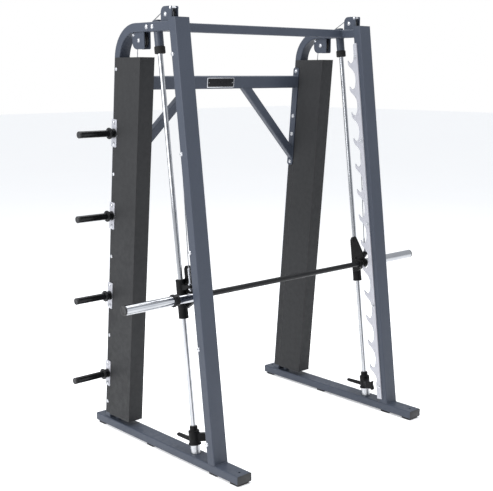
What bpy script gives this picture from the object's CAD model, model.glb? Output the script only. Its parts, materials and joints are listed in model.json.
import json
from math import acos, atan2, ceil, cos, hypot, pi, radians, sin, tan

import bmesh
import bpy
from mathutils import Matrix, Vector


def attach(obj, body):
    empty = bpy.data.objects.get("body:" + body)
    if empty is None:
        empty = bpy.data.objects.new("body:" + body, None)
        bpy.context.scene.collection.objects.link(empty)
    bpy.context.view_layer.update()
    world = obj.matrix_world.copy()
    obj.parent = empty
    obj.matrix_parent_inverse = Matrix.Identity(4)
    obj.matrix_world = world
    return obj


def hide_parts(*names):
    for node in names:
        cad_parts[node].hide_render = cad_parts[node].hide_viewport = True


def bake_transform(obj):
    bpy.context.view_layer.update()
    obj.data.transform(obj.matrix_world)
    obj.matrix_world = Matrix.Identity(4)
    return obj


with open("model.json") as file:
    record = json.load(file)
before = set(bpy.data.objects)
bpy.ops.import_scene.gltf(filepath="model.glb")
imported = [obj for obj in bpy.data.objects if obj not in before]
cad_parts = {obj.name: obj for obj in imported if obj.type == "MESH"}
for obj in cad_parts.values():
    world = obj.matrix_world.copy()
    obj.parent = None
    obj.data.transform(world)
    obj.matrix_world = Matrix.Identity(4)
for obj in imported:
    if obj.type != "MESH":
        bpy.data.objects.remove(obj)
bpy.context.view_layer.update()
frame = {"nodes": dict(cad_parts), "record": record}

NODES = frame["nodes"]
SIDES = (("left", -1), ("right", 1))

# ---------------------------------------------------------------- layout of the machine, metres
MID_X = 0.679
RAIL, COLUMN = radians(7.0), radians(5.0)
ROD_FLOOR_Y, COLUMN_FLOOR_Y = -0.2465, 0.526
BAR_A, BAR_S = -0.076, 0.882
BASE_TOP, RUN_LOW, RUN_HIGH = 0.055, 2.216, 2.262
FRONT_WHEEL, REAR_WHEEL = (-0.062, 2.2965), (0.164, 2.1745)
FRONT_RETAINER, REAR_RETAINER = (-0.1025, 2.3265), (0.2075, 2.203)
ROPE_R, CABLE_R = 0.036, 0.0024
RACK_BOLT_A, RACK_BOLT_S = -0.1565, [0.138 + 0.49 * i for i in range(5)]
SIDE_PLATE_Z = (1.458, 1.632, 1.745, 2.022)
SHROUD_BOLT_Z = (0.150, 0.550, 1.010, 1.470, 2.030)
HORN_Z = (0.323, 0.785, 1.240, 1.692)
LAP_X = 0.037  # outer face of the shroud lap, from the column's middle
COLUMN_HALF_W = 0.035
SIDE_PLATE_X = 0.043
WHEEL_PLATE_X = 0.0215
RACK_HEAD_X, RACK_NUT_X = 0.046, 0.053
RUN_MID_Z = 2.239
BASE_END_Y = 0.6168
UPRIGHT_TOP_Z, SOCKET_TOP_Z = 2.277, 2.270
REAR_BAR_T = (1.9295, 2.0015)
HORN_PLATE_END, HORN_BOSS_END, HORN_RIM_END, HORN_END = 0.005, 0.031, 0.039, 0.228


def rail(x, a, s):
    return Vector((x, ROD_FLOOR_Y + a * cos(RAIL) + s * sin(RAIL), s * cos(RAIL) - a * sin(RAIL)))


def column(x, b, t):
    return Vector((x, COLUMN_FLOOR_Y + b * cos(COLUMN) - t * sin(COLUMN), t * cos(COLUMN) + b * sin(COLUMN)))


def column_y(z):
    return COLUMN_FLOOR_Y - z * tan(COLUMN)


RAIL_UP = Vector((0, sin(RAIL), cos(RAIL)))
RAIL_BACK = Vector((0, cos(RAIL), -sin(RAIL)))
COLUMN_UP = Vector((0, -sin(COLUMN), cos(COLUMN)))
BAR = rail(0, BAR_A, BAR_S)

# ---------------------------------------------------------------- camera, floor and light
camera = bpy.data.objects.new("camera", bpy.data.cameras.new("camera"))
bpy.context.scene.collection.objects.link(camera)
camera.location = (-3.643, -3.879, 2.004)
camera.rotation_euler = (radians(90 - 10.25), 0, radians(-42.4))
camera.data.lens = 69.17
camera.data.sensor_width = 36
bpy.context.scene.camera = camera
bpy.context.scene.view_settings.view_transform = "Standard"

world = bpy.data.worlds.new("studio")
bpy.context.scene.world = world
world.use_nodes = True
wn, wl = world.node_tree.nodes, world.node_tree.links
wn["Background"].inputs["Color"].default_value = (0.93, 0.96, 1.0, 1)
wn["Background"].inputs["Strength"].default_value = 0.70
white = wn.new("ShaderNodeBackground")
white.inputs["Color"].default_value = (1, 1, 1, 1)
pick, path, out = wn.new("ShaderNodeMixShader"), wn.new("ShaderNodeLightPath"), wn["World Output"]
wl.new(path.outputs["Is Camera Ray"], pick.inputs["Fac"])
wl.new(wn["Background"].outputs[0], pick.inputs[1])
wl.new(white.outputs[0], pick.inputs[2])
wl.new(pick.outputs[0], out.inputs["Surface"])


def area_light(name, place, aim, size, watts, colour=(1, 1, 1)):
    light = bpy.data.lights.new(name, "AREA")
    light.shape = "RECTANGLE"
    light.size, light.size_y = size
    light.energy = watts
    light.color = colour
    obj = bpy.data.objects.new(name, light)
    bpy.context.scene.collection.objects.link(obj)
    obj.location = place
    obj.rotation_euler = (Vector(aim) - Vector(place)).to_track_quat("-Z", "Y").to_euler()


area_light("key_left", (-4.6, 0.4, 2.9), (0, 0, 1.0), (3.0, 3.6), 165)
area_light("overhead", (0.2, 0.2, 5.2), (0, 0, 0), (5.0, 5.0), 260)
area_light("fill_front", (1.8, -5.4, 2.2), (0, 0, 1.0), (2.6, 2.6), 16, (0.95, 0.97, 1))


# ---------------------------------------------------------------- materials
class Surface:
    """Small helper that wires a procedural material round one Principled shader."""

    def __init__(self, name, colour, rough, metal=0.0, spec=0.5):
        self.mat = bpy.data.materials.new(name)
        self.mat.use_nodes = True
        self.nodes, self.links = self.mat.node_tree.nodes, self.mat.node_tree.links
        self.bsdf = self.nodes["Principled BSDF"]
        self.bsdf.inputs["Metallic"].default_value = metal
        self.bsdf.inputs["Specular IOR Level"].default_value = spec
        self.colour, self.rough = colour, rough
        self.coords = self.add("ShaderNodeTexCoord").outputs["Object"]
        self.height = None

    def add(self, kind, **values):
        node = self.nodes.new(kind)
        for key, value in values.items():
            setattr(node, key, value)
        return node

    def link(self, a, b):
        self.links.new(a, b)

    def noise(self, scale, detail=4.0, stretch=(1, 1, 1), distortion=0.0):
        mapping = self.add("ShaderNodeMapping")
        mapping.inputs["Scale"].default_value = stretch
        self.link(self.coords, mapping.inputs["Vector"])
        tex = self.add("ShaderNodeTexNoise")
        tex.inputs["Scale"].default_value = scale
        tex.inputs["Detail"].default_value = detail
        tex.inputs["Distortion"].default_value = distortion
        self.link(mapping.outputs[0], tex.inputs["Vector"])
        return tex.outputs["Fac"]

    def cells(self, scale):
        tex = self.add("ShaderNodeTexVoronoi", feature="SMOOTH_F1")
        tex.inputs["Scale"].default_value = scale
        self.link(self.coords, tex.inputs["Vector"])
        return tex.outputs["Distance"]

    def span(self, source, low, high, a=0.35, b=0.65):
        """Maps a 0..1 texture onto low..high."""
        node = self.add("ShaderNodeMapRange")
        for key, value in (("From Min", a), ("From Max", b), ("To Min", low), ("To Max", high)):
            node.inputs[key].default_value = value
        self.link(source, node.inputs["Value"])
        return node.outputs[0]

    def tint(self, source, other, amount=1.0):
        """Mixes the base colour towards another where the texture is high."""
        node = self.add("ShaderNodeMix", data_type="RGBA")
        node.inputs["B"].default_value = (*other, 1)
        if isinstance(self.colour, tuple):
            node.inputs["A"].default_value = (*self.colour, 1)
        else:
            self.link(self.colour, node.inputs["A"])
        self.link(self.span(source, 0, amount), node.inputs["Factor"])
        self.colour = node.outputs["Result"]

    def bump(self, source, strength, distance):
        node = self.add("ShaderNodeBump")
        node.inputs["Strength"].default_value = strength
        node.inputs["Distance"].default_value = distance
        self.link(source, node.inputs["Height"])
        if self.height is not None:
            self.link(self.height, node.inputs["Normal"])
        self.height = node.outputs[0]

    def done(self, rough_noise, spread=0.06):
        rough = self.span(rough_noise, self.rough - spread, self.rough + spread)
        self.link(rough, self.bsdf.inputs["Roughness"])
        if isinstance(self.colour, tuple):
            self.bsdf.inputs["Base Color"].default_value = (*self.colour, 1)
        else:
            self.link(self.colour, self.bsdf.inputs["Base Color"])
        if self.height is not None:
            self.link(self.height, self.bsdf.inputs["Normal"])
        return self.mat


def powder_coat(name, colour, light, rough, grain, depth, spec=0.4):
    s = Surface(name, colour, rough, spec=spec)
    s.tint(s.noise(2.6, 5), light, 0.55)
    s.tint(s.noise(1700, 2), tuple(c * 0.72 for c in colour), 0.35)
    s.bump(s.noise(grain, 3), 0.5, depth)
    s.bump(s.noise(grain * 0.22, 2), 0.25, depth * 2.5)
    return s.done(s.noise(38, 6), 0.07)


def make_chrome(name, stretch, rough=0.085):
    s = Surface(name, (0.50, 0.51, 0.53), rough, metal=1.0)
    s.tint(s.noise(9, 5), (0.40, 0.41, 0.44), 0.6)
    s.bump(s.noise(420, 4, stretch), 0.06, 0.00006)
    return s.done(s.noise(60, 8, stretch), 0.035)


def make_casting(name):
    s = Surface(name, (0.0032, 0.0033, 0.0037), 0.5, spec=0.14)
    s.tint(s.noise(30, 6), (0.008, 0.008, 0.009), 0.7)
    s.bump(s.cells(620), 0.45, 0.0005)
    s.bump(s.noise(160, 5), 0.4, 0.0006)
    return s.done(s.noise(90, 5), 0.1)


def make_zinc(name, colour=(0.68, 0.69, 0.72), rough=0.27):
    s = Surface(name, colour, rough, metal=1.0)
    s.tint(s.noise(45, 6, distortion=0.6), tuple(c * 0.82 for c in colour), 0.8)
    s.bump(s.noise(900, 3), 0.12, 0.00008)
    return s.done(s.noise(120, 6), 0.07)


def make_rack_plate(name):
    s = Surface(name, (0.47, 0.47, 0.51), 0.42, metal=0.35)
    s.tint(s.noise(7, 6), (0.40, 0.41, 0.45), 0.8)
    s.tint(s.noise(260, 3, (1, 9, 0.35)), (0.54, 0.54, 0.58), 0.35)
    s.bump(s.noise(520, 4, (1, 12, 0.3)), 0.12, 0.0001)
    return s.done(s.noise(40, 5, (1, 6, 0.5)), 0.07)


def make_plastic(name, colour, rough, spec=0.35):
    s = Surface(name, colour, rough, spec=spec)
    s.tint(s.noise(22, 4), tuple(c * 1.5 + 0.003 for c in colour), 0.5)
    s.bump(s.cells(1400), 0.3, 0.00018)
    return s.done(s.noise(70, 4), 0.06)


def make_black_steel(name, rough=0.3):
    s = Surface(name, (0.0045, 0.0047, 0.0053), rough, spec=0.24)
    s.tint(s.noise(14, 6), (0.011, 0.0115, 0.013), 0.6)
    s.bump(s.noise(1300, 3), 0.25, 0.00012)
    return s.done(s.noise(55, 6), 0.06)


def make_weight(name):
    s = Surface(name, (0.13, 0.13, 0.135), 0.6, metal=0.5)
    s.tint(s.noise(12, 8), (0.07, 0.066, 0.062), 0.9)
    s.bump(s.noise(240, 6), 0.5, 0.0007)
    return s.done(s.noise(30, 6), 0.12)


def make_badge(name):
    s = Surface(name, (0.006, 0.006, 0.007), 0.3, metal=0.0, spec=0.2)
    s.tint(s.noise(300, 3, (0.15, 1, 6)), (0.012, 0.012, 0.014), 0.7)
    s.bump(s.noise(700, 3, (0.1, 1, 6)), 0.15, 0.0001)
    return s.done(s.noise(50, 4), 0.06)


BLUE, SHROUD = (0.047, 0.056, 0.077), (0.022, 0.0225, 0.024)
FINISH = {
    "frame_paint": powder_coat("frame_paint_m", BLUE, (0.058, 0.069, 0.094), 0.43, 620, 0.00022, 0.3),
    "shroud_paint": powder_coat("shroud_m", SHROUD, (0.028, 0.029, 0.031), 0.6, 1000, 0.0004, 0.25),
    "cast_black": make_casting("casting_m"),
    "black_steel": make_black_steel("black_steel_m"),
    "chrome": make_chrome("chrome_m", (1, 1, 0.05)),
    "bright_plate": make_rack_plate("bright_plate_m"),
    "zinc_bolt": make_zinc("zinc_m"),
    "black_plastic": make_plastic("black_plastic_m", (0.018, 0.018, 0.019), 0.45),
    "rubber": make_plastic("rubber_m", (0.012, 0.012, 0.012), 0.78, 0.2),
    "grey_collar": make_zinc("collar_m", (0.62, 0.63, 0.65), 0.42),
    "cable": make_zinc("cable_m", (0.30, 0.31, 0.33), 0.4),
    "weight_steel": make_weight("weight_m"),
    "bearing": make_plastic("bearing_m", (0.045, 0.044, 0.042), 0.5),
    "badge": make_badge("badge_m"),
}
WELD = powder_coat("weld_m", BLUE, (0.068, 0.080, 0.106), 0.4, 900, 0.0003, 0.3)
BAR_CHROME = make_chrome("bar_chrome_m", (0.05, 1, 1), 0.07)
KNURLED = make_black_steel("shaft_m", 0.36)
SLOT_OF = {entry["node"]: entry["material_slot"] for entry in frame["record"]["subparts"]}
for node_name, node in NODES.items():
    for material_slot in node.material_slots:
        material_slot.material = FINISH[SLOT_OF[node_name]]
NODES["bar_sleeves"].material_slots[0].material = BAR_CHROME
NODES["bar_shaft"].material_slots[0].material = KNURLED


# ---------------------------------------------------------------- mesh helpers
def finish_mesh(mesh, crease=35):
    mesh.polygons.foreach_set("use_smooth", [True] * len(mesh.polygons))
    mesh.set_sharp_from_angle(angle=radians(crease))


def piece(name, bm, material, body, replaces=(), crease=35):
    bmesh.ops.recalc_face_normals(bm, faces=bm.faces)
    mesh = bpy.data.meshes.new(name)
    bm.to_mesh(mesh)
    bm.free()
    finish_mesh(mesh, crease)
    obj = bpy.data.objects.new(name, mesh)
    bpy.context.scene.collection.objects.link(obj)
    obj.data.materials.append(material)
    if body:
        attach(obj, body)
    if replaces:
        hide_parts(*replaces)
    return obj


def basis(axis):
    axis = Vector(axis).normalized()
    side = axis.orthogonal().normalized()
    if abs(axis.x) < 0.999:
        side = Vector((1, 0, 0)).cross(axis).normalized().cross(axis) * -1
    return axis, side, axis.cross(side)


def hexagon(r):
    """Radius of a hexagon's outline as a function of the angle."""
    return lambda turn: r / cos((turn + pi / 6) % (pi / 3) - pi / 6)


def turned(bm, origin, axis, rings, segments=40):
    """Solid of (radius or radius function, height) rings along an axis. With no zero radius it is a ring."""
    origin = Vector(origin)
    axis, side, up = basis(axis)
    loops = []
    for radius, height in rings:
        if radius == 0:
            loops.append([bm.verts.new(origin + axis * height)])
            continue
        loop = []
        for i in range(segments):
            turn = 2 * pi * i / segments
            r = radius(turn) if callable(radius) else radius
            loop.append(bm.verts.new(origin + axis * height + side * (r * cos(turn)) + up * (r * sin(turn))))
        loops.append(loop)
    pairs = list(zip(loops, loops[1:]))
    if len(loops[0]) > 1 and len(loops[-1]) > 1:
        pairs.append((loops[-1], loops[0]))
    for low, high in pairs:
        for i in range(segments):
            j = (i + 1) % segments
            ring = [low[i % len(low)], low[j % len(low)], high[j % len(high)], high[i % len(high)]]
            face = list(dict.fromkeys(ring))
            if len(face) > 2:
                bm.faces.new(face)


def button_bolt(bm, origin, axis, r, h, washer=True):
    """Dome head with a hex socket on a washer, standing on the face at the origin."""
    base = 0.0016 if washer else 0.0
    rings = [(0, 0)]
    if washer:
        rings += [(r * 1.28, 0), (r * 1.3, 0.0004), (r * 1.3, base - 0.0003), (r * 1.27, base)]
    socket = r * 0.42
    rings += [(r, base), (r, base + h * 0.22), (r * 0.95, base + h * 0.5), (r * 0.82, base + h * 0.78)]
    rings += [(r * 0.62, base + h * 0.95), (hexagon(socket), base + h), (hexagon(socket), base + h * 0.35)]
    rings += [(0, base + h * 0.3)]
    turned(bm, origin, axis, rings, 36)


def hex_nut(bm, origin, axis, r, h, stud=0.0):
    """Chamfered nut on a washer with the end of its bolt."""
    rings = [(0, 0), (r * 1.25, 0), (r * 1.25, 0.0014), (r * 0.98, 0.0015)]
    rings += [(hexagon(r * 0.86), 0.0016), (hexagon(r * 0.87), h * 0.85), (r * 0.86, h), (r * 0.55, h)]
    rings += [(r * 0.52, h + stud), (r * 0.42, h + stud + 0.0008), (0, h + stud + 0.0008)]
    turned(bm, origin, axis, rings, 36)


def weld(bm, corners, closed=True, r=0.0026, step=0.0016):
    """Bead of overlapping ripples along a polyline."""
    points = [Vector(c) for c in corners]
    if closed:
        points.append(points[0])
    for start, end in zip(points, points[1:]):
        run = end - start
        count = max(4, ceil(run.length / step))
        axis, side, up = basis(run)
        loops = []
        for k in range(count + 1):
            ripple = r * (0.9 + 0.16 * (k % 3) - (0.45 if k in (0, count) else 0))
            centre = start + run * (k / count)
            loops.append([
                bm.verts.new(centre + side * (ripple * cos(pi * i / 4)) + up * (ripple * sin(pi * i / 4)))
                for i in range(8)
            ])
        for low, high in zip(loops, loops[1:]):
            for i in range(8):
                j = (i + 1) % 8
                bm.faces.new((low[i], low[j], high[j], high[i]))
        bm.faces.new(loops[0])
        bm.faces.new(loops[-1])


def slab(bm, outline, axis, thickness, chamfer=0.0):
    """Prism of a closed outline, its edges rounded."""
    axis = Vector(axis).normalized()
    part = bmesh.new()
    low = [part.verts.new(Vector(p)) for p in outline]
    high = [part.verts.new(Vector(p) + axis * thickness) for p in outline]
    part.faces.new(low)
    part.faces.new(high)
    for i in range(len(low)):
        j = (i + 1) % len(low)
        part.faces.new((low[i], low[j], high[j], high[i]))
    bmesh.ops.recalc_face_normals(part, faces=part.faces)
    if chamfer:
        edges = [e for e in part.edges if e.calc_face_angle(0) > radians(28)]
        bmesh.ops.bevel(part, geom=edges, offset=chamfer, segments=2, profile=0.6, affect="EDGES")
    temp = bpy.data.meshes.new("slab")
    part.to_mesh(temp)
    part.free()
    bm.from_mesh(temp)
    bpy.data.meshes.remove(temp)


def rounded_rect(centre, u, v, width, height, r, steps=5):
    """Outline of a rounded rectangle in the plane of u and v."""
    centre, u, v = Vector(centre), Vector(u), Vector(v)
    points = []
    for cx, cy, first in ((1, 1, 0), (-1, 1, 90), (-1, -1, 180), (1, -1, 270)):
        for k in range(steps + 1):
            turn = radians(first + 90 * k / steps)
            x = cx * (width / 2 - r) + r * cos(turn)
            y = cy * (height / 2 - r) + r * sin(turn)
            points.append(centre + u * x + v * y)
    return points


def cast_shape(name, bm, voxel, passes, cutters, body, replaces, material="cast_black"):
    """Fuses overlapping solids into one casting with soft fillets, then bores it."""
    bmesh.ops.recalc_face_normals(bm, faces=bm.faces)
    mesh = bpy.data.meshes.new(name + "_raw")
    bm.to_mesh(mesh)
    bm.free()
    raw = bpy.data.objects.new(name + "_raw", mesh)
    bpy.context.scene.collection.objects.link(raw)
    remesh = raw.modifiers.new("fuse", "REMESH")
    remesh.mode = "VOXEL"
    remesh.voxel_size = voxel
    smooth = raw.modifiers.new("soften", "SMOOTH")
    smooth.factor = 0.5
    smooth.iterations = passes
    extra = []
    for k, cutter in enumerate(cutters):
        cut = bpy.data.meshes.new(f"{name}_cut{k}")
        bmesh.ops.recalc_face_normals(cutter, faces=cutter.faces)
        cutter.to_mesh(cut)
        cutter.free()
        tool = bpy.data.objects.new(f"{name}_cut{k}", cut)
        bpy.context.scene.collection.objects.link(tool)
        bore = raw.modifiers.new(f"bore{k}", "BOOLEAN")
        bore.operation = "DIFFERENCE"
        bore.solver = "EXACT"
        bore.object = tool
        extra.append(tool)
    bpy.context.view_layer.update()
    made = bpy.data.meshes.new_from_object(raw.evaluated_get(bpy.context.evaluated_depsgraph_get()))
    made.name = name
    for helper in [raw, *extra]:
        bpy.data.objects.remove(helper)
    finish_mesh(made, 50)
    made.materials.clear()
    made.materials.append(FINISH[material])
    obj = bpy.data.objects.new(name, made)
    bpy.context.scene.collection.objects.link(obj)
    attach(obj, body)
    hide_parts(*replaces)
    return obj


# ---------------------------------------------------------------- floor
floor_mat = Surface("floor_m", (0.92, 0.92, 0.925), 0.75, spec=0.1)
floor_mat.tint(floor_mat.noise(0.6, 3), (0.94, 0.94, 0.942), 0.6)
floor_mat.bump(floor_mat.noise(60, 3), 0.05, 0.0005)
floor_mat.bsdf.inputs["Emission Color"].default_value = (1, 1, 1, 1)
floor_mat.bsdf.inputs["Emission Strength"].default_value = 0.31
floor_bm = bmesh.new()
bmesh.ops.create_grid(floor_bm, x_segments=2, y_segments=2, size=40)
floor_mesh = bpy.data.meshes.new("floor")
floor_bm.to_mesh(floor_mesh)
floor_bm.free()
floor_mesh.materials.append(floor_mat.done(floor_mat.noise(3, 3), 0.05))
floor = bpy.data.objects.new("floor", floor_mesh)
bpy.context.scene.collection.objects.link(floor)


# ---------------------------------------------------------------- fasteners
def through_bolts(name, replaces, spots):
    bm = bmesh.new()
    for place, axis, r, h in spots:
        button_bolt(bm, place, axis, r, h)
    piece(name, bm, FINISH["zinc_bolt"], "frame", replaces)


spots = []
nuts = bmesh.new()
for _, sx in SIDES:
    for s in RACK_BOLT_S:
        spots.append((rail(sx * (MID_X + RACK_HEAD_X), RACK_BOLT_A, s), (sx, 0, 0), 0.0085, 0.0046))
        hex_nut(nuts, rail(sx * (MID_X - RACK_NUT_X), RACK_BOLT_A, s), (-sx, 0, 0), 0.0088, 0.007, 0.003)
through_bolts("rack_bolt_heads", ("rack_bolts",), spots)
piece("rack_bolt_nuts", nuts, FINISH["zinc_bolt"], "frame")

spots = []
for _, sx in SIDES:
    for z in SHROUD_BOLT_Z:
        spots.append((Vector((sx * (MID_X + LAP_X), column_y(z), z)), (sx, 0, 0), 0.0075, 0.0042))
    for z in SIDE_PLATE_Z:
        spots.append((Vector((sx * (MID_X - SIDE_PLATE_X), column_y(z), z)), (-sx, 0, 0), 0.0088, 0.0055))
    for y in (0.030, 0.078):
        spots.append((Vector((sx * (MID_X + COLUMN_HALF_W), y, RUN_MID_Z)), (sx, 0, 0), 0.0095, 0.0055))
    spots.append((Vector((sx * (MID_X - COLUMN_HALF_W), 0.078, RUN_MID_Z)), (-sx, 0, 0), 0.0095, 0.0055))
    spots.append((Vector((sx * (MID_X - COLUMN_HALF_W), 0.0375, RUN_MID_Z)), (-sx, 0, 0), 0.0070, 0.0050))
through_bolts("column_bolt_heads", ("column_bolts",), spots)

PULLEY_BOLTS = (
    (FRONT_WHEEL, 0.009), (REAR_WHEEL, 0.009), (FRONT_RETAINER, 0.0068), (REAR_RETAINER, 0.0068),
)
spots = []
axles = bmesh.new()
for _, sx in SIDES:
    for (y, z), r in PULLEY_BOLTS:
        for out in (-1, 1):
            spots.append((Vector((sx * MID_X + out * WHEEL_PLATE_X, y, z)), (out, 0, 0), r, 0.0048))
        rings = [(0, 0), (r * 0.62, 0), (r * 0.62, 2 * WHEEL_PLATE_X), (0, 2 * WHEEL_PLATE_X)]
        turned(axles, (sx * MID_X - WHEEL_PLATE_X, y, z), (1, 0, 0), rings, 24)
through_bolts("pulley_bolt_heads", ("pulley_bolts",), spots)
piece("pulley_axles", axles, FINISH["zinc_bolt"], "frame")


# ---------------------------------------------------------------- storage horns
plates, heads, bases, rims, pegs, caps = (bmesh.new() for _ in range(6))
for _, sx in SIDES:
    face = sx * (MID_X + LAP_X)
    for z in HORN_Z:
        centre = Vector((face, column_y(z), z))
        outline = rounded_rect(centre, COLUMN_UP.cross(Vector((1, 0, 0))), COLUMN_UP, 0.045, 0.150, 0.006)
        slab(plates, outline, (sx, 0, 0), HORN_PLATE_END, 0.0009)
        out = Vector((sx, 0, 0))
        for step in (-0.058, 0.058):
            button_bolt(heads, centre + out * HORN_PLATE_END + COLUMN_UP * step, out, 0.0092, 0.0056)
        x0, x1, x2, x3 = HORN_PLATE_END, HORN_BOSS_END, HORN_RIM_END, HORN_END
        turned(bases, centre, out, [(0, x0), (0.0255, x0), (0.0255, x0 + 0.003), (0.024, x0 + 0.005),
                                    (0.024, x1), (0, x1)], 40)
        turned(rims, centre, out, [(0, x1), (0.0290, x1), (0.0310, x1 + 0.0016), (0.0310, x1 + 0.0062),
                                   (0.0292, x2), (0.0208, x2), (0.0192, x1 + 0.0095),
                                   (0, x1 + 0.0095)], 48)
        turned(pegs, centre, out, [(0, x2), (0.0185, x2), (0.0185, x3 - 0.011), (0.0172, x3 - 0.010),
                                   (0.0172, x3 - 0.009), (0, x3 - 0.009)], 48)
        turned(caps, centre, out, [(0, x3 - 0.009), (0.0183, x3 - 0.009), (0.0187, x3 - 0.0075),
                                   (0.0187, x3 - 0.003), (0.0172, x3 - 0.0005), (0.0130, x3),
                                   (0.0118, x3 - 0.0008), (0, x3 - 0.0008)], 48)
piece("horn_plates_detail", plates, FINISH["bright_plate"], "frame", ("horn_plates",))
piece("horn_plate_bolts", heads, FINISH["zinc_bolt"], "frame")
piece("horn_base_bushes", bases, FINISH["black_steel"], "frame", ("horn_bases",))
piece("horn_rims", rims, FINISH["black_steel"], "frame", ("horn_flanges",))
piece("horn_pegs", pegs, make_black_steel("horn_gloss_m", 0.16), "frame", ("horn_sleeves",))
piece("horn_end_caps", caps, FINISH["black_plastic"], "frame", ("horn_caps",))


# ---------------------------------------------------------------- caps and plugs
ends = bmesh.new()
for _, sx in SIDES:
    for end in (-1, 1):
        centre = Vector((sx * MID_X, end * BASE_END_Y, 0.0325))
        inner = centre - Vector((0, end * 0.016, 0))
        outline = rounded_rect(centre, (1, 0, 0), (0, 0, 1), 0.0915, 0.0445, 0.0055)
        slab(ends, outline, (0, end, 0), 0.0034, 0.0012)
        outline = rounded_rect(inner, (1, 0, 0), (0, 0, 1), 0.083, 0.036, 0.002)
        slab(ends, outline, (0, end, 0), 0.017)
piece("base_end_caps", ends, FINISH["black_plastic"], "frame", ("base_caps",))

tops = bmesh.new()
for _, sx in SIDES:
    s_top = (UPRIGHT_TOP_Z - 0.1745 * sin(RAIL)) / cos(RAIL)
    centre = rail(sx * MID_X, -0.1745, s_top)
    depth = 0.055 / cos(RAIL)
    outline = rounded_rect((centre.x, centre.y, UPRIGHT_TOP_Z), (1, 0, 0), (0, 1, 0), 0.092, depth, 0.006)
    slab(tops, outline, (0, 0, 1), 0.003, 0.0011)
piece("upright_top_plates", tops, FINISH["frame_paint"], "frame", ("upright_caps",))

plugs = bmesh.new()
for _, sx in SIDES:
    place = rail(sx * MID_X, 0, SOCKET_TOP_Z / cos(RAIL) - 0.001)
    rings = [(0, 0), (0.0165, 0), (0.0165, 0.0016), (0.0145, 0.0034), (0.004, 0.0042), (0, 0.0042)]
    turned(plugs, place, RAIL_UP, rings, 40)
piece("socket_plugs", plugs, FINISH["black_plastic"], "frame")


# ---------------------------------------------------------------- badge: dark plate, bright frame, rivets
badge_out = -Vector((0, cos(COLUMN), sin(COLUMN)))
centre = column(0, -0.0225, sum(REAR_BAR_T) / 2)
badge = bmesh.new()
slab(badge, rounded_rect(centre, (1, 0, 0), COLUMN_UP, 0.206, 0.058, 0.005), badge_out, 0.0014, 0.0005)
for sx in (-1, 1):
    turned(badge, centre + Vector((sx * 0.0905, 0, 0)) + badge_out * 0.0022, badge_out,
           [(0, 0), (0.0024, 0), (0.0024, 0.0005), (0.0014, 0.0011), (0, 0.0012)], 24)
piece("badge_frame", badge, FINISH["zinc_bolt"], "frame", ("badge_plate",))
badge = bmesh.new()
outline = rounded_rect(centre + badge_out * 0.0012, (1, 0, 0), COLUMN_UP, 0.196, 0.048, 0.004)
slab(badge, outline, badge_out, 0.0011, 0.0004)
piece("badge_field", badge, FINISH["badge"], "frame")


# ---------------------------------------------------------------- welds
beads = bmesh.new()
for _, sx in SIDES:
    x = sx * MID_X
    upright_y = [ROD_FLOOR_Y + (BASE_TOP * tan(RAIL)) + a / cos(RAIL) for a in (-0.202, -0.147)]
    for y in upright_y:
        weld(beads, [(x - 0.042, y, BASE_TOP), (x + 0.042, y, BASE_TOP)], False, 0.0032)
    cy, half_y = column_y(BASE_TOP), 0.023 / cos(COLUMN)
    weld(beads, [(x - 0.035, cy - half_y, BASE_TOP), (x + 0.035, cy - half_y, BASE_TOP),
                 (x + 0.035, cy + half_y, BASE_TOP), (x - 0.035, cy + half_y, BASE_TOP)], True, 0.003)
    inner = sx * 0.644
    weld(beads, [(inner, -0.020, RUN_LOW + 0.002), (inner, 0.026, RUN_LOW + 0.002),
                 (inner, 0.026, RUN_HIGH - 0.002), (inner, -0.020, RUN_HIGH - 0.002)], True, 0.0026)
    joint_y = [rail(x, -0.147, z / cos(RAIL) - 0.147 * tan(RAIL)).y for z in (RUN_LOW, RUN_HIGH)]
    weld(beads, [(x - 0.034, joint_y[0], RUN_LOW), (x + 0.034, joint_y[0], RUN_LOW),
                 (x + 0.034, joint_y[1], RUN_HIGH), (x - 0.034, joint_y[1], RUN_HIGH)], True, 0.0028)
    for z in (RUN_LOW, RUN_HIGH):
        mid = rail(x, 0, z / cos(RAIL))
        ring = [(x + 0.0238 * cos(pi * k / 12), mid.y + 0.024 * sin(pi * k / 12), z) for k in range(24)]
        weld(beads, ring, True, 0.0024)
    for edge in (-0.0215, -0.0165, 0.0165, 0.0215):
        weld(beads, [(x + edge, -0.110, RUN_HIGH), (x + edge, -0.027, RUN_HIGH)], False, 0.0018)
        weld(beads, [(x + edge, 0.120, RUN_LOW), (x + edge, 0.180, RUN_LOW)], False, 0.0018)
    plate_x = sx * 0.636
    t_low, t_high = REAR_BAR_T
    weld(beads, [column(plate_x, -0.0205, t_low), column(plate_x, 0.0205, t_low),
                 column(plate_x, 0.0205, t_high), column(plate_x, -0.0205, t_high)], True, 0.0026)
    weld(beads, [column(plate_x, -0.019, 1.4840), column(plate_x, 0.019, 1.4840),
                 column(plate_x, 0.019, 1.5530), column(plate_x, -0.019, 1.5530)], True, 0.0026)
    weld(beads, [column(sx * 0.1850, -0.019, t_low), column(sx * 0.2540, -0.019, t_low),
                 column(sx * 0.2540, 0.019, t_low), column(sx * 0.1850, 0.019, t_low)], True, 0.0026)
    foot = rail(x, 0, BASE_TOP / cos(RAIL))
    ring = [(x + 0.0255 * cos(pi * k / 12), foot.y + 0.0255 * sin(pi * k / 12), BASE_TOP) for k in range(24)]
    weld(beads, ring, True, 0.0022)
piece("weld_beads", beads, WELD, "frame", crease=60)


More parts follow.
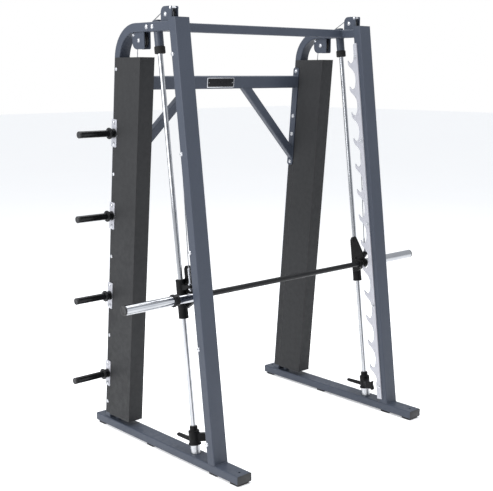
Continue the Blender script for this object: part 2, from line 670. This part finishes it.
# ---------------------------------------------------------------- counterbalance cables
def strand_tube(bm, route, r=CABLE_R, lay=0.030, step=0.0030, lobes=6, around=18):
    """Six-strand rope along a polyline route."""
    points, lengths = [Vector(route[0])], [0.0]
    for start, end in zip(route, route[1:]):
        run = Vector(end) - Vector(start)
        count = max(1, ceil(run.length / step))
        for k in range(1, count + 1):
            points.append(Vector(start) + run * (k / count))
            lengths.append(lengths[-1] + run.length / count)
    loops = []
    for k, point in enumerate(points):
        ahead = points[min(k + 1, len(points) - 1)] - points[max(k - 1, 0)]
        axis = ahead.normalized()
        side = Vector((1, 0, 0))
        up = axis.cross(side).normalized()
        twist = 2 * pi * lengths[k] / lay
        loop = []
        for i in range(around):
            turn = 2 * pi * i / around
            radius = r * (0.86 + 0.14 * abs(cos(lobes / 2 * (turn - twist))))
            loop.append(bm.verts.new(point + side * (radius * cos(turn)) + up * (radius * sin(turn))))
        loops.append(loop)
    for low, high in zip(loops, loops[1:]):
        for i in range(around):
            j = (i + 1) % around
            bm.faces.new((low[i], low[j], high[j], high[i]))
    bm.faces.new(loops[0])
    bm.faces.new(loops[-1])


def tangent(wheel, point, toward_front):
    dy, dz = point[0] - wheel[0], point[1] - wheel[1]
    swing = acos(ROPE_R / hypot(dy, dz))
    heading = atan2(dz, dy) + (-swing if toward_front else swing)
    return (wheel[0] + ROPE_R * cos(heading), wheel[1] + ROPE_R * sin(heading))


def wheel_arc(x, wheel, start, end, count=14):
    first = atan2(start[1] - wheel[1], start[0] - wheel[0])
    last = atan2(end[1] - wheel[1], end[0] - wheel[0])
    if first < last:
        first += 2 * pi
    turns = [first + (last - first) * k / count for k in range(count + 1)]
    return [Vector((x, wheel[0] + ROPE_R * cos(t), wheel[1] + ROPE_R * sin(t))) for t in turns]


over = (REAR_WHEEL[0] - FRONT_WHEEL[0], REAR_WHEEL[1] - FRONT_WHEEL[1])
over_normal = (-over[1] / hypot(*over), over[0] / hypot(*over))
over_front = tuple(c + ROPE_R * n for c, n in zip(FRONT_WHEEL, over_normal))
over_rear = tuple(c + ROPE_R * n for c, n in zip(REAR_WHEEL, over_normal))
terminal_top = rail(0, BAR_A, BAR_S + 0.150)
inside_terminal = rail(0, BAR_A, BAR_S + 0.148)
front_leave = tangent(FRONT_WHEEL, (inside_terminal.y, inside_terminal.z), True)
rear_leave = (REAR_WHEEL[0] + ROPE_R * cos(COLUMN), REAR_WHEEL[1] + ROPE_R * sin(COLUMN))
rear_b = (rear_leave[0] - COLUMN_FLOOR_Y) * cos(COLUMN) + rear_leave[1] * sin(COLUMN)
weight_eye = column(0, rear_b, 1.400)
for side, sx in SIDES:
    x = sx * MID_X
    top, low = Vector((x, *front_leave)), Vector((x, terminal_top.y, terminal_top.z))
    bm = bmesh.new()
    strand_tube(bm, [top, low])
    run = piece(f"cable_run_front_{side}", bm, FINISH["cable"], None, ("cable_front",), 60)
    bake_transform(run)
    bm = bmesh.new()
    front_arc = wheel_arc(x, FRONT_WHEEL, front_leave, over_front)
    rear_arc = wheel_arc(x, REAR_WHEEL, over_rear, rear_leave)
    strand_tube(bm, front_arc + rear_arc)
    piece(f"cable_over_{side}", bm, FINISH["cable"], "frame", ("cable_over_wheels",), 60)
    top, low = Vector((x, *rear_leave)), Vector((x, weight_eye.y, weight_eye.z))
    bm = bmesh.new()
    strand_tube(bm, [top, low])
    run = piece(f"cable_run_rear_{side}", bm, FINISH["cable"], None, (f"cable_rear_{side}",), 60)
    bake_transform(run)


# ---------------------------------------------------------------- carriages
def rod(bm, start, axis, r, length, segments=40):
    turned(bm, start, axis, [(0, 0), (r, 0), (r, length), (0, length)], segments)


def side_slab(bm, sx, near, far, outline, chamfer=0.0):
    """Slab square to X between two distances inboard, from (a, s) corners."""
    slab(bm, [rail(sx * (MID_X - near), a, s) for a, s in outline], (-sx, 0, 0), far - near, chamfer)


for side, sx in SIDES:
    x = sx * MID_X
    low, high = BAR_S - 0.113, BAR_S + 0.090
    bm = bmesh.new()
    rod(bm, rail(x, 0, low), RAIL_UP, 0.0255, high - low, 48)
    for end, step in ((low, 0.010), (high - 0.010, 0.010)):
        rod(bm, rail(x, 0, end), RAIL_UP, 0.0262, step, 48)
    rod(bm, rail(sx * (MID_X - 0.012), BAR_A, BAR_S), (-sx, 0, 0), 0.0290, 0.028, 48)
    side_slab(bm, sx, 0.013, 0.039, [(-0.004, BAR_S - 0.066), (BAR_A + 0.004, BAR_S - 0.0285),
                                     (BAR_A + 0.004, BAR_S + 0.0285), (-0.020, BAR_S + 0.076),
                                     (-0.004, BAR_S + 0.080)])
    side_slab(bm, sx, 0.0285, 0.0395, [(0.001, BAR_S - 0.020), (0.001, BAR_S + 0.139),
                                       (-0.010, BAR_S + 0.157), (-0.042, BAR_S + 0.159),
                                       (-0.060, BAR_S + 0.122), (-0.099, BAR_S + 0.040),
                                       (-0.1025, BAR_S + 0.006), (BAR_A, BAR_S - 0.020)])
    side_slab(bm, sx, -0.0115, 0.030, [(-0.018, BAR_S + 0.034), (-0.050, BAR_S + 0.038),
                                       (BAR_A + 0.012, BAR_S + 0.0465),
                                       (BAR_A - 0.0135, BAR_S + 0.0465), (BAR_A - 0.0135, BAR_S + 0.0635),
                                       (-0.018, BAR_S + 0.0635)])
    cutters = [bmesh.new() for _ in range(3)]
    rod(cutters[0], rail(x, 0, low - 0.01), RAIL_UP, 0.017, high - low + 0.02, 48)
    rod(cutters[1], rail(sx * (MID_X + 0.03), BAR_A, BAR_S), (-sx, 0, 0), 0.020, 0.09, 48)
    rod(cutters[2], rail(x, BAR_A, BAR_S + 0.030), RAIL_UP, 0.0052, 0.06, 24)
    cast_shape(f"carriage_casting_{side}", bm, 0.0016, 5, cutters, "carriages", (f"carriage_{side}",))
    bm = bmesh.new()
    button_bolt(bm, rail(sx * (MID_X - 0.040), -0.020, BAR_S + 0.138), (-sx, 0, 0), 0.0085, 0.005)
    button_bolt(bm, rail(sx * (MID_X - 0.040), -0.030, BAR_S + 0.030), (-sx, 0, 0), 0.0065, 0.004)
    piece(f"carriage_bolts_{side}", bm, FINISH["black_steel"], "carriages")

STUD_R, FERRULE_R, THREADS = 0.0050, 0.0056, 30
seals = bmesh.new()
studs = bmesh.new()
for _, sx in SIDES:
    x = sx * MID_X
    for s, d in ((BAR_S - 0.113, 1), (BAR_S + 0.090, -1)):
        turned(seals, rail(x, 0, s), RAIL_UP * -d,
               [(0.01255, -0.058), (0.017, -0.058), (0.017, 0.0), (0.0162, 0.0008), (0.0134, 0.0008),
                (0.01255, 0.0)], 48)
    for start, end, r in ((0.032, 0.108, STUD_R), (0.108, 0.150, FERRULE_R)):
        rings = [(0, start)]
        if r == STUD_R:
            for k in range(THREADS + 1):
                h = start + (end - start) * k / THREADS
                rings.append((r if k % 2 else r * 0.86, h))
        else:
            rings += [(r * 0.7, start), (r, start + 0.002), (r, end - 0.003), (r * 0.6, end)]
        rings.append((0, end))
        turned(studs, rail(x, BAR_A, BAR_S), RAIL_UP, rings, 32)
    hex_nut(studs, rail(x, BAR_A, BAR_S + 0.064), RAIL_UP, 0.0095, 0.008)
    hex_nut(studs, rail(x, BAR_A, BAR_S + 0.046), RAIL_UP * -1, 0.0095, 0.008)
piece("linear_bearing_seals", seals, FINISH["bearing"], "carriages", ("linear_bearings",))
piece("cable_studs", studs, FINISH["zinc_bolt"], "carriages", ("cable_terminals",))


# ---------------------------------------------------------------- bar
flanges, sleeve_caps = bmesh.new(), bmesh.new()
for _, sx in SIDES:
    out = Vector((sx, 0, 0))
    turned(flanges, BAR, out, [
        (0.0245, 0.768), (0.0285, 0.768), (0.0300, 0.7695), (0.0300, 0.7765), (0.0288, 0.7775),
        (0.0288, 0.7800), (0.0300, 0.7810), (0.0300, 0.7885), (0.0315, 0.7900), (0.0330, 0.7912),
        (0.0330, 0.7985), (0.0316, 0.8000), (0.0251, 0.8000)], 64)
    turned(sleeve_caps, BAR, out, [
        (0, 1.088), (0.0245, 1.0912), (0.0250, 1.0925), (0.0250, 1.0970), (0.0236, 1.0996), (0.0205, 1.1000),
        (0.0190, 1.0990), (0.0060, 1.0986), (0, 1.0984)], 64)
piece("plate_flanges", flanges, FINISH["black_steel"], "bar", ("sleeve_flanges",))
piece("bar_end_caps", sleeve_caps, FINISH["black_plastic"], "bar", ("sleeve_end_caps",))

HOOK_NEAR, HOOK_FAR = 0.0468, 0.0542  # inboard of the column's middle
COLLAR_NEAR, COLLAR_FAR = 0.0545, 0.0740
BORE_R = 0.0151
FINGER = [
    (0.018, 100), (0.0325, 100), (0.0329, 90), (0.0330, 80),
    (0.0330, 68), (0.0325, 60), (0.026, 66), (0.020, 71),
]
hooks = bmesh.new()
for _, sx in SIDES:
    arc = [(BAR_A - r * cos(radians(t)), BAR_S + r * sin(radians(t))) for r, t in FINGER]
    outline = [(BAR_A + 0.015, BAR_S + 0.002), (BAR_A - 0.013, BAR_S + 0.009), *arc[:0:-1],
               (BAR_A + 0.006, BAR_S + 0.029), (BAR_A + 0.015, BAR_S + 0.019)]
    side_slab(hooks, sx, HOOK_NEAR, HOOK_FAR, outline, 0.0012)
    start = BAR + Vector((sx * MID_X, 0, 0))
    turned(hooks, start, (-sx, 0, 0), [(BORE_R, COLLAR_NEAR), (0.024, COLLAR_NEAR),
                                       (0.026, COLLAR_NEAR + 0.002), (0.026, COLLAR_FAR - 0.002),
                                       (0.024, COLLAR_FAR), (BORE_R, COLLAR_FAR)], 56)
    turned(hooks, start, (-sx, 0, 0), [(BORE_R, HOOK_NEAR - 0.0003), (0.0175, HOOK_NEAR),
                                       (0.0175, COLLAR_NEAR), (BORE_R, COLLAR_NEAR)], 56)
    screw = BAR + Vector((sx * (MID_X - 0.064), 0, 0)) + RAIL_BACK * 0.0252
    button_bolt(hooks, screw, RAIL_BACK, 0.005, 0.003, False)
piece("lock_hooks", hooks, FINISH["cast_black"], "bar", ("bar_hooks",))


# ---------------------------------------------------------------- safety stops
STOP_LOW, STOP_HIGH, COLLAR = 0.101, 0.176, 0.199
for side, sx in SIDES:
    x = sx * MID_X
    bm = bmesh.new()
    rod(bm, rail(x, 0, STOP_LOW), RAIL_UP, 0.0295, STOP_HIGH - STOP_LOW, 48)
    rod(bm, rail(x, 0, STOP_LOW), RAIL_UP, 0.0338, 0.008, 48)
    rod(bm, rail(x, 0, STOP_HIGH - 0.004), RAIL_UP, 0.0208, COLLAR - STOP_HIGH + 0.004, 48)
    arm = [(sx * 0.008, -0.022), (-sx * 0.054, -0.084), (-sx * 0.0565, -0.100), (-sx * 0.0735, -0.100),
           (-sx * 0.0735, -0.070), (-sx * 0.027, -0.006)]
    slab(bm, [rail(x + v, a, 0.119) for v, a in arm], RAIL_UP, 0.041)
    side_slab(bm, sx, 0.0565, 0.0735, [(-0.096, 0.120), (-0.104, 0.120), (-0.1065, 0.114), (-0.1195, 0.114),
                                       (-0.1225, 0.126), (-0.117, 0.150), (-0.1225, 0.1695),
                                       (-0.110, 0.1655), (-0.096, 0.158)])
    grip = ((0.020, 0.112), (0.128, 0.125), (0.137, 0.128), (0.1425, 0.133), (0.137, 0.1425), (0.020, 0.132))
    slab(bm, [rail(x - 0.0088, a, s) for a, s in grip], (1, 0, 0), 0.0176)
    cutter = bmesh.new()
    rod(cutter, rail(x, 0, STOP_LOW - 0.01), RAIL_UP, 0.01706, 0.12, 48)
    stop = f"safety_stop_{side}"
    cast_shape(f"stop_casting_{side}", bm, 0.0017, 5, [cutter], stop, (stop,))
